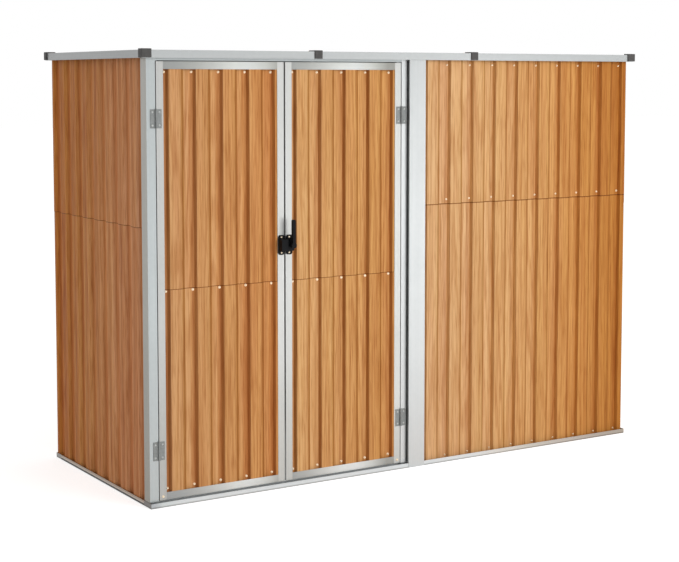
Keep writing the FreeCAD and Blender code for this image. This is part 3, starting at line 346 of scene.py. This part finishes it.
# A side wall's grain is broader than a front wall's.
SIDE_GRAIN = 1.25
first_fold = {}
for wall, plural, inside, across, lead, pitch, rib_shade, tones, line, widening, upper, lower in (
        ("front_wall", "", BACKWARD, X, FRONT_LEAD, WALL_PITCH, WALL_RIB_SHADE, FRONT_TONES, FRONT_LAP_LINE, 1.0,
         (0.31, 0.0, 2.7), (3.83, 0.0, 0.4)),
        ("left_wall", "", RIGHTWARD, Y, LEFT_LEAD, SIDE_PITCH, SIDE_RIB_SHADE, LEFT_TONES, LAP_LINE, SIDE_GRAIN,
         (1.27, 0.5, 1.1), (5.11, 2.9, 0.2)),
        ("right_wall", "", LEFTWARD, Y, RIGHT_LEAD, SIDE_PITCH, SIDE_RIB_SHADE, RIGHT_TONES, LAP_LINE, SIDE_GRAIN,
         (2.09, 1.5, 3.6), (4.45, 3.2, 1.9)),
        ("back_wall", "s", FORWARD, X, BACK_LEAD, WALL_PITCH, WALL_RIB_SHADE, BACK_TONES, LAP_LINE, 1.0,
         (6.63, 0.8, 4.2), (7.37, 1.6, 2.3))):
    start, end = ends(f"{wall}_upper_panel{plural}", across)
    first_fold[wall] = start + lead
    ribs = (first_fold[wall], pitch, rib_shade)
    lap = (ends(f"{wall}_upper_panel{plural}", Z)[0] - line / 2, line / 2)
    for row_name, shift in (("upper", upper), ("lower", lower)):
        print_name = f"wood_print_{wall}_{row_name}"
        coat(wood_print(print_name, inside, shift, ribs, (start, end, tones), lap, across, widening=widening),
             f"{wall}_{row_name}_panel{plural}")

# Doors.
# Two leaves, each a frame of folded strip with an upper and a lower ribbed sheet behind its face. The rails
# run between the stiles and are screwed to them from behind; one screw shows at each lower hinge corner.
RAIL_TONES = ("#CDD0CF", "#E0E4E3")
DOOR_WIDTH = ends("left_door_meeting_stile", X)[1] - ends("left_door_hinge_stile", X)[0]
# A painted reflection runs along each rail: dark at its ends and brightest past its middle, on the right door
# a little sooner.
RAIL_REFLECTION = (
    (0, "#B7B7B8"), (76, "#BEBEBE"), (152, "#CFCECC"), (228, "#E8E7E5"), (304, "#FEFEFC"), (365, "#FFFFFF"),
    (430, "#EEEDEA"), (DOOR_WIDTH, "#B6B3AE"))
# Painted shade darkens the top rails and the feet of the stiles. The right hinge stile instead has a painted
# highlight about 0.3 m up, with painted shade below it and above 0.5 m.
RAIL_SHADE = (Z, 0, WALL_HEIGHT, (
    (0, "#FFFFFF"), (900, "#FFFFFF"), (1540, "#F5F4F2"), (WALL_HEIGHT, "#F5F4F2")), None)
STILE_SHADE = (Z, 0, WALL_HEIGHT, (
    (0, "#F2F2F1"), (300, "#F6F6F5"), (480, "#FFFFFF"), (WALL_HEIGHT, "#FFFFFF")), None)
RIGHT_STILE_SHEEN = (Z, 0, WALL_HEIGHT, (
    (0, "#EBEBEA"), (300, "#FFFFFF"), (420, "#F8F8F8"), (520, "#F1F1F1"), (WALL_HEIGHT, "#F1F1F1")), None)
# The stiles are given tones of one finish that grow lighter from the left hinge stile to the right one:
# painted shade and painted highlight.
coat(galvanised_steel("galvanised_left_hinge_stile", "#B2B3B0", "#C4C4C2", run=Z, bands=(STILE_SHADE,)),
     "left_door_hinge_stile")
coat(galvanised_steel("galvanised_meeting_stiles", "#BCBDBA", "#CFD0CD", run=Z, bands=(STILE_SHADE,)),
     "left_door_meeting_stile", "right_door_meeting_stile")
coat(galvanised_steel("galvanised_right_hinge_stile", "#C3C4C1", "#D6D7D4", run=Z, bands=(RIGHT_STILE_SHEEN,)),
     "right_door_hinge_stile")
DOOR_PITCH = 106.1
DOOR_LEAD = 98.4
# The lower sheet of a door laps the upper one, so that its painted shadow line lies above the lapped edge.
DOOR_LAP = (ends("left_door_lower_panel", Z)[1] + LAP_LINE / 2, LAP_LINE / 2)
# Each door: its side, how much sooner the painted reflection on its rails peaks, the painted shade on its
# flanks and at the ends of its troughs, its ground tones, which grow darker and redder to the right as
# painted shade, and the shifts of the grain on its upper and lower sheet.
for side, sooner, flank_shade, dull, tones, upper, lower in (
        ("left", 0, "#D8BE9E", ("#FBF1E7", "#D4BCA6"), ("#DBAB7B", "#DBA770", "#DCA062"),
         (8.21, 0.0, 1.3), (9.59, 0.0, 3.1)),
        ("right", 60, "#D0B491", ("#F0E9E6", "#F0E6E0"), ("#E6B985", "#DDAA6F", "#D69D5D"),
         (11.4, 0.0, 0.7), (12.8, 0.0, 2.0))):
    start = min(ends(f"{side}_door_{stile}_stile", X)[0] for stile in ("hinge", "meeting"))
    end = start + DOOR_WIDTH
    # The rails' painted reflection, shifted sooner on the right door.
    rail_reflection = (X, start - sooner, end - sooner, RAIL_REFLECTION, None)
    coat(galvanised_steel(f"galvanised_{side}_door_rails", *RAIL_TONES, run=X, bands=(rail_reflection, RAIL_SHADE)),
         f"{side}_door_top_rail", f"{side}_door_mid_rail", f"{side}_door_bottom_rail")
    first_fold[f"{side}_door"] = ends(f"{side}_door_lower_panel", X)[0] + DOOR_LEAD
    ribs = (first_fold[f"{side}_door"], DOOR_PITCH, rib_shading(DOOR_PITCH, flank_shade, dull))
    for row_name, shift in (("upper", upper), ("lower", lower)):
        print_name = f"wood_print_{side}_door_{row_name}"
        coat(wood_print(print_name, BACKWARD, shift, ribs, (start, end, tones), DOOR_LAP),
             f"{side}_door_{row_name}_panel")

# Hinges.
# Butt hinges of stamped steel: a leaf on the post, a leaf on the door and a pin through both. They are
# zinc-plated and left dull grey, darker than the frame.


def plated_steel(name, dull, bright, metallic=0.5):
    """Plated steel: cloudy, and smoother where the plating is bright."""
    material, tree = empty_material(name)
    place = add(tree, "ShaderNodeTexCoord", {}).outputs["Object"]
    # Cloudy plating, 9 mm across.
    cloud = add(tree, "ShaderNodeTexNoise", {
        "Vector": place, "Scale": 1 / (9 * MM), "Detail": 4.0}).outputs["Fac"]
    colour = add(tree, "ShaderNodeMix", {0: cloud, 6: linear(dull), 7: linear(bright)},
                 data_type="RGBA").outputs[2]
    rough = add(tree, "ShaderNodeMapRange", {"Value": cloud, "From Min": 0.3, "From Max": 0.7, "To Min": 0.52,
                                             "To Max": 0.4}).outputs["Result"]
    relief = add(tree, "ShaderNodeBump", {"Height": cloud, "Strength": 0.1, "Distance": 0.1 * MM})
    shader = add(tree, "ShaderNodeBsdfPrincipled", {
        "Base Color": colour, "Metallic": metallic, "Roughness": rough, "Normal": relief.outputs["Normal"]})
    add(tree, "ShaderNodeOutputMaterial", {"Surface": shader.outputs["BSDF"]})
    return material


coat(plated_steel("zinc_plated_hinges", "#787B7A", "#979A99"),
     "hinge_frame_leaves", "hinge_pins", "left_door_hinge_leaves", "right_door_hinge_leaves")

# Latch.
# Turn latch moulded in black plastic: a keeper on the left leaf, a body on the right leaf, and a lever on a
# spindle with a cam behind it. Each base is held by two screws.


def moulded_plastic(name, dark, light, grit, gloss):
    """Moulded plastic with a spark-eroded skin: satin, with a fine even grit of this size and this gloss."""
    material, tree = empty_material(name)
    place = add(tree, "ShaderNodeTexCoord", {}).outputs["Object"]
    grain = add(tree, "ShaderNodeTexNoise", {
        "Vector": place, "Scale": 1 / grit, "Detail": 3.0}).outputs["Fac"]
    # Handling and weather leave paler patches about 25 mm across.
    bloom = add(tree, "ShaderNodeTexNoise", {"Vector": place, "Scale": 1 / (25 * MM)}).outputs["Fac"]
    colour = add(tree, "ShaderNodeMix", {0: bloom, 6: linear(dark), 7: linear(light)},
                 data_type="RGBA").outputs[2]
    rough = add(tree, "ShaderNodeMapRange", {"Value": grain, "From Min": 0.3, "From Max": 0.7,
                                             "To Min": 0.5, "To Max": 0.62}).outputs["Result"]
    relief = add(tree, "ShaderNodeBump", {"Height": grain, "Strength": 0.25, "Distance": 0.15 * MM})
    shader = add(tree, "ShaderNodeBsdfPrincipled", {
        "Base Color": colour, "Roughness": rough, "Normal": relief.outputs["Normal"], "IOR": 1.5,
        "Specular IOR Level": gloss})
    add(tree, "ShaderNodeOutputMaterial", {"Surface": shader.outputs["BSDF"]})
    return material


coat(moulded_plastic("black_nylon_latch", "#0A0B0C", "#16171A", 1.2 * MM, 0.14),
     "latch_keeper", "latch_body", "latch_cam", "latch_lever")

# Roof.
# Three ribbed sheets with the same printed grain lie on the top rails and on two ribs across the shed. Cover
# strips close their joints, and a folded fascia runs round the edge in lengths that meet under the caps.
DOWNWARD = (0, 0, -1)
# The roof has no painted shade across its ribs.
NO_RIB_SHADE = ((0, "#FFFFFF"), (WALL_PITCH, "#FFFFFF"))
NO_LAP = (0, 0)
ROOF_LEAD = 41.5
roof_start, roof_end = ends("roof_panels", X)
coat(wood_print("wood_print_roof", DOWNWARD, (10.7, 2.2, 0.0), (roof_start + ROOF_LEAD, WALL_PITCH, NO_RIB_SHADE),
                (roof_start, roof_end, BACK_TONES), NO_LAP, run=Y), "roof_panels")
coat(galvanised_steel("galvanised_fascia_long", "#ABAEAE", "#BCBFBF", run=X), "fascia_front", "fascia_back")
# The side lengths are given a darker tone than the front and back ones: painted shade. The cover strips and
# roof ribs share it.
coat(galvanised_steel("galvanised_fascia_side", "#989A9A", "#AAACAC", run=Y),
     "fascia_left", "fascia_right", "roof_cover_strips", "roof_ribs")

# Caps.
# Corner and joint caps moulded in dark grey polypropylene are pushed over the ends of the fascia lengths.
# The mould was spark-eroded, which gives them a fine grit and a weak gloss.
coat(moulded_plastic("grey_polypropylene_caps", "#434241", "#5A5857", 1.6 * MM, 0.25),
     "roof_corner_caps", "roof_joint_caps")

# Screws.
# Self-drilling screws with a flanged pan head hold the sheets through their troughs, and smaller ones hold
# the hinges and the latch. The heads are nickel-plated steel, and dull zinc-plated on the hinges.
HEAD_SIDES = 12
# The crown of a head is this part of its width.
CROWN = 0.6


def screw_tree():
    """Sets a flanged pan head on every point, standing along the point's facing."""
    tree = bpy.data.node_groups.new("screw_heads", "GeometryNodeTree")
    tree.interface.new_socket("Points", in_out="INPUT", socket_type="NodeSocketGeometry")
    for label in ("Flange Radius", "Flange Height", "Head Radius", "Head Height"):
        tree.interface.new_socket(label, in_out="INPUT", socket_type="NodeSocketFloat")
    tree.interface.new_socket("Metal", in_out="INPUT", socket_type="NodeSocketMaterial")
    tree.interface.new_socket("Screws", in_out="OUTPUT", socket_type="NodeSocketGeometry")
    entry = tree.nodes.new("NodeGroupInput").outputs
    flange = add(tree, "GeometryNodeMeshCone", {
        "Vertices": HEAD_SIDES, "Radius Bottom": entry["Flange Radius"], "Radius Top": entry["Head Radius"],
        "Depth": entry["Flange Height"]}).outputs["Mesh"]
    crown = add(tree, "ShaderNodeMath", {0: entry["Head Radius"], 1: CROWN}, operation="MULTIPLY").outputs[0]
    head = add(tree, "GeometryNodeMeshCone", {
        "Vertices": HEAD_SIDES, "Radius Bottom": entry["Head Radius"], "Radius Top": crown,
        "Depth": entry["Head Height"]}).outputs["Mesh"]
    screw = tree.nodes.new("GeometryNodeJoinGeometry")
    tree.links.new(flange, screw.inputs[0])
    tree.links.new(head, screw.inputs[0])
    facing = add(tree, "GeometryNodeInputNamedAttribute", {"Name": "facing"},
                 data_type="FLOAT_VECTOR").outputs["Attribute"]
    turn = add(tree, "FunctionNodeAlignRotationToVector", {"Vector": facing}, axis="Z").outputs["Rotation"]
    placed = add(tree, "GeometryNodeInstanceOnPoints", {
        "Points": entry["Points"], "Instance": screw.outputs[0], "Rotation": turn}).outputs["Instances"]
    solid = add(tree, "GeometryNodeRealizeInstances", {"Geometry": placed}).outputs["Geometry"]
    plated = add(tree, "GeometryNodeSetMaterial", {"Geometry": solid, "Material": entry["Metal"]})
    add(tree, "NodeGroupOutput", {"Screws": plated.outputs["Geometry"]})
    return tree


screw_heads = screw_tree()


def screws(name, body, metal, places, sizes):
    """One mesh of screw heads for a body. places are (point, facing), and sizes the tree's lengths, in mm."""
    mesh = bpy.data.meshes.new(name)
    mesh.from_pydata([[c * MM for c in point] for point, _ in places], [], [])
    facing = mesh.attributes.new("facing", "FLOAT_VECTOR", "POINT")
    for i, (_, direction) in enumerate(places):
        facing.data[i].vector = direction
    piece = bpy.data.objects.new(name, mesh)
    bpy.context.scene.collection.objects.link(piece)
    maker = piece.modifiers.new("heads", "NODES")
    maker.node_group = screw_heads
    inputs = {s.name: s.identifier for s in screw_heads.interface.items_tree if s.in_out == "INPUT"}
    for label, size in sizes.items():
        maker[inputs[label]] = size * MM
    maker[inputs["Metal"]] = metal
    heads = bpy.data.meshes.new_from_object(piece.evaluated_get(bpy.context.evaluated_depsgraph_get()))
    piece.modifiers.remove(maker)
    piece.data = heads
    heads.name = name
    bpy.data.meshes.remove(mesh)
    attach(piece, body)


def row(first, step, count):
    """Stations at even steps, in mm."""
    return [first + step * i for i in range(count)]


SHEET_THICKNESS = 0.4


def trough_screws(axis, stations, rows, facing):
    """Places of screws in the troughs of sheets that look along facing. stations are on the axis across the
    ribs, and rows are (height, sheet under the heads), in mm."""
    deep = 1 - axis
    inner = 1 if facing[deep] < 0 else 0
    places = []
    for station in stations:
        for height, sheet in rows:
            point = [0, 0, height]
            point[axis] = station
            point[deep] = ends(sheet, deep)[inner] + SHEET_THICKNESS * facing[deep]
            places.append((point, facing))
    return places


def trough_middle(pitch):
    """Middle of a trough, in mm from the fold where the crest before it ends."""
    return FLANK + trough_width(pitch) / 2


nickel = plated_steel("nickel_plated_screws", "#F8E4C6", "#FFF0D3", 1.0)
dull_zinc = plated_steel("zinc_plated_screws", "#B4B7B4", "#CDD0CD")
SHEET_SCREW = {"Flange Radius": 4.4, "Flange Height": 0.9, "Head Radius": 3.5, "Head Height": 2.6}
DOOR_SCREW = {"Flange Radius": 5.2, "Flange Height": 0.9, "Head Radius": 4.4, "Head Height": 2.6}
SMALL_SCREW = {"Flange Radius": 3.6, "Flange Height": 0.5, "Head Radius": 3.2, "Head Height": 1.8}

# Heights of the rows on a wall: at its foot, at the lap and under the roof. On the front and left wall the
# screws stand off the middle of a trough, at these distances from its fold.
FRONT_ROWS = (21, 1037, 1560)
SIDE_ROWS = (30, 1000, 1556)
FRONT_STAND = 45.1
LEFT_STAND = 15.5
# Two sheets meet on the back wall and three on the roof, with this joint between them.
JOINT = 0.4
back_start, back_end = ends("back_wall_upper_panels", X)
back_step = (back_end - back_start + JOINT) / 2
back_screw = first_fold["back_wall"] + trough_middle(WALL_PITCH)
front_stations = row(first_fold["front_wall"] + FRONT_STAND, WALL_PITCH, 9)
left_stations = row(first_fold["left_wall"] + LEFT_STAND, SIDE_PITCH, 8)
right_stations = row(first_fold["right_wall"] + trough_middle(SIDE_PITCH), SIDE_PITCH, 8)
back_stations = row(back_screw, WALL_PITCH, 10) + row(back_screw + back_step, WALL_PITCH, 10)
wall_screws = []
for wall, plural, axis, stations, heights, facing in (
        ("front_wall", "", X, front_stations, FRONT_ROWS, FORWARD),
        ("left_wall", "", Y, left_stations, SIDE_ROWS, LEFTWARD),
        ("right_wall", "", Y, right_stations, SIDE_ROWS, RIGHTWARD),
        ("back_wall", "s", X, back_stations, SIDE_ROWS, BACKWARD)):
    foot, lap, top = heights
    upper = f"{wall}_upper_panel{plural}"
    rows = ((foot, f"{wall}_lower_panel{plural}"), (lap, upper), (top, upper))
    wall_screws += trough_screws(axis, stations, rows, facing)

# The roof's screws stand near the front and back edge, and along the middle of the cover strips.
UPWARD = (0, 0, 1)
ROOF_ROW = 416
STRIP_STEP = 190
STRIPS = (-420, 292)
roof_floor = ends("roof_panels", Z)[0] + SHEET_THICKNESS
strip_top = ends("roof_cover_strips", Z)[1]
for sheet_start, count in ((roof_start, 6), (STRIPS[0] + JOINT / 2, 6), (STRIPS[1] + JOINT / 2, 7)):
    for x in row(sheet_start + ROOF_LEAD + trough_middle(WALL_PITCH), WALL_PITCH, count):
        wall_screws += [((x, y, roof_floor), UPWARD) for y in (-ROOF_ROW, ROOF_ROW)]
for x in STRIPS:
    wall_screws += [((x, y, strip_top), UPWARD) for y in row(-2 * STRIP_STEP, STRIP_STEP, 5)]
screws("wall_and_roof_screws", "shed", nickel, wall_screws, SHEET_SCREW)

# Two screws in each hinge leaf, set in from its free edge and from its ends.
LEAF_THICKNESS = 1.8
LEAF_HEIGHT = 66
LEAF_INSET = 8.65
LEAF_END = 10
leaf_face = ends("hinge_frame_leaves", Y)[1] - LEAF_THICKNESS
leaf_start, leaf_stop = ends("hinge_frame_leaves", X)
leaf_foot, leaf_top = ends("hinge_frame_leaves", Z)
hinge_rows = [foot + end for foot in (leaf_foot, leaf_top - LEAF_HEIGHT)
              for end in (LEAF_END, LEAF_HEIGHT - LEAF_END)]
frame_leaves = (leaf_start + LEAF_INSET, leaf_stop - LEAF_INSET)
screws("hinge_frame_screws", "shed", dull_zinc,
       [((x, leaf_face, z), FORWARD) for x in frame_leaves for z in hinge_rows], SMALL_SCREW)

# On the doors: rows at the foot, the lap and the top of the sheets, one screw at the lower hinge corner, and
# one at each end of the latch's two bases.
DOOR_ROWS = (60, 762, 1530)
DOOR_STAND = 41.9
CORNER_HEIGHT = 35
LEFT_CORNER_INSET = 13.5
RIGHT_CORNER_INSET = 12.8
BASE_THICKNESS = 2.5
BASE_HALF_WIDTH = 14.0
BASE_END = 8.0
base_face = ends("latch_body", Y)[1] - BASE_THICKNESS
base_foot, base_top = ends("latch_body", Z)
base_rows = (base_foot + BASE_END, base_top - BASE_END)
for side, leaf, corner, base in (
        ("left", ends("left_door_hinge_leaves", X)[1] - LEAF_INSET,
         ends("left_door_hinge_stile", X)[0] + LEFT_CORNER_INSET,
         ends("latch_keeper", X)[0] + BASE_HALF_WIDTH),
        ("right", ends("right_door_hinge_leaves", X)[0] + LEAF_INSET,
         ends("right_door_hinge_stile", X)[1] - RIGHT_CORNER_INSET,
         ends("latch_body", X)[1] - BASE_HALF_WIDTH)):
    foot, lap, top = DOOR_ROWS
    lower = f"{side}_door_lower_panel"
    rows = ((foot, lower), (lap, lower), (top, f"{side}_door_upper_panel"))
    stations = row(first_fold[f"{side}_door"] - DOOR_PITCH + DOOR_STAND, DOOR_PITCH, 5)
    sheet_screws = trough_screws(X, stations, rows, FORWARD)
    stile_face = ends(f"{side}_door_hinge_stile", Y)[0]
    sheet_screws.append(((corner, stile_face, CORNER_HEIGHT), FORWARD))
    screws(f"{side}_door_sheet_screws", f"{side}_door", nickel, sheet_screws, DOOR_SCREW)
    screws(f"{side}_door_hinge_screws", f"{side}_door", dull_zinc,
           [((leaf, leaf_face, z), FORWARD) for z in hinge_rows], SMALL_SCREW)
    screws(f"{side}_door_latch_screws", f"{side}_door", nickel,
           [((base, base_face, z), FORWARD) for z in base_rows], SMALL_SCREW)

# Floor and light.
# A plain white floor that keeps the shed's shadow, and white surroundings. One large soft lamp stands to the
# right of the camera, and a narrow one beside it shows as a streak in the metal. Sizes here are in metres.
REACH = 40.0
FLOOR_LEVEL = -0.0005
FLOOR_TONE = "#E7E7E7"
FLOOR_GLOW = 0.64
SURROUND = 0.55
floor_mesh = bpy.data.meshes.new("floor")
outline = ((-REACH, -REACH), (REACH, -REACH), (REACH, REACH), (-REACH, REACH))
corners = [(x, y, FLOOR_LEVEL) for x, y in outline]
floor_mesh.from_pydata(corners, [], [(0, 1, 2, 3)])
floor = bpy.data.objects.new("floor", floor_mesh)
bpy.context.scene.collection.objects.link(floor)
white_floor, tree = empty_material("white_floor")


def shown_directly(tree):
    """1 for rays that show the surroundings themselves: camera, glossy and transmission rays."""
    path = add(tree, "ShaderNodeLightPath", {}).outputs
    direct = add(tree, "ShaderNodeMath", {0: path["Is Camera Ray"], 1: path["Is Glossy Ray"]},
                 operation="MAXIMUM").outputs[0]
    return add(tree, "ShaderNodeMath", {0: direct, 1: path["Is Transmission Ray"]},
               operation="MAXIMUM").outputs[0]


glow = add(tree, "ShaderNodeMath", {0: shown_directly(tree), 1: FLOOR_GLOW}, operation="MULTIPLY").outputs[0]
paint = add(tree, "ShaderNodeBsdfDiffuse", {"Color": linear(FLOOR_TONE)}).outputs["BSDF"]
shine = add(tree, "ShaderNodeEmission", {"Strength": glow}).outputs["Emission"]
both = add(tree, "ShaderNodeAddShader", {0: paint, 1: shine}).outputs["Shader"]
add(tree, "ShaderNodeOutputMaterial", {"Surface": both})
floor_mesh.materials.append(white_floor)

world = bpy.data.worlds.new("white_surroundings")
world.use_nodes = True
tree = world.node_tree
tree.nodes.clear()
strength = add(tree, "ShaderNodeMapRange", {"Value": shown_directly(tree), "To Min": SURROUND,
                                            "To Max": 1.0}).outputs["Result"]
sky = add(tree, "ShaderNodeBackground", {"Color": (1, 1, 1, 1), "Strength": strength})
add(tree, "ShaderNodeOutputWorld", {"Surface": sky.outputs["Background"]})
bpy.context.scene.world = world

# Each lamp: its width and height, its power in watts, its direction and rise in degrees as seen from the
# shed, its distance, and the height that it looks at.
for name, width, height, energy, azimuth, rise, distance, aim in (
        ("key", 5.0, 4.0, 330.0, 22, 14, 8.0, 0.8),
        ("side_strip", 0.6, 1.6, 9.0, 36, 0, 6.2, 0.82)):
    light = bpy.data.lights.new(name, "AREA")
    light.shape = "RECTANGLE"
    light.size = width
    light.size_y = height
    light.energy = energy
    turn = math.radians(azimuth)
    tilt = math.radians(rise)
    away = distance * math.cos(tilt)
    lamp = bpy.data.objects.new(name, light)
    lamp.location = (away * math.sin(turn), -away * math.cos(turn), aim + distance * math.sin(tilt))
    lamp.rotation_euler = (math.radians(90) - tilt, 0, turn)
    lamp.visible_camera = False
    lamp.visible_glossy = name == "side_strip"
    bpy.context.scene.collection.objects.link(lamp)

# Camera.
# The photograph is taken from the left of the doors, a little below the roof, with a long lens. The camera
# looks slightly down, and its frame is shifted so that the walls stay nearly upright. Angles are in degrees.
IMAGE_WIDTH = 679
FOCAL_PIXELS = 1526.8
SHIFT_PIXELS = -80.0
SENSOR = 36.0
STAND_POINT = (-3.3271, -5.2476, 1.5031)
LOOK_DOWN = 4.547
LOOK_RIGHT = 31.998
FARTHEST = 200.0
eye = bpy.data.cameras.new("camera")
eye.sensor_fit = "HORIZONTAL"
eye.sensor_width = SENSOR
eye.lens = SENSOR * FOCAL_PIXELS / IMAGE_WIDTH
eye.shift_y = SHIFT_PIXELS / IMAGE_WIDTH
eye.clip_end = FARTHEST
camera = bpy.data.objects.new("camera", eye)
camera.location = STAND_POINT
camera.rotation_euler = (math.radians(90 - LOOK_DOWN), 0, math.radians(-LOOK_RIGHT))
bpy.context.scene.collection.objects.link(camera)
bpy.context.scene.camera = camera
bpy.context.scene.view_settings.view_transform = "Standard"
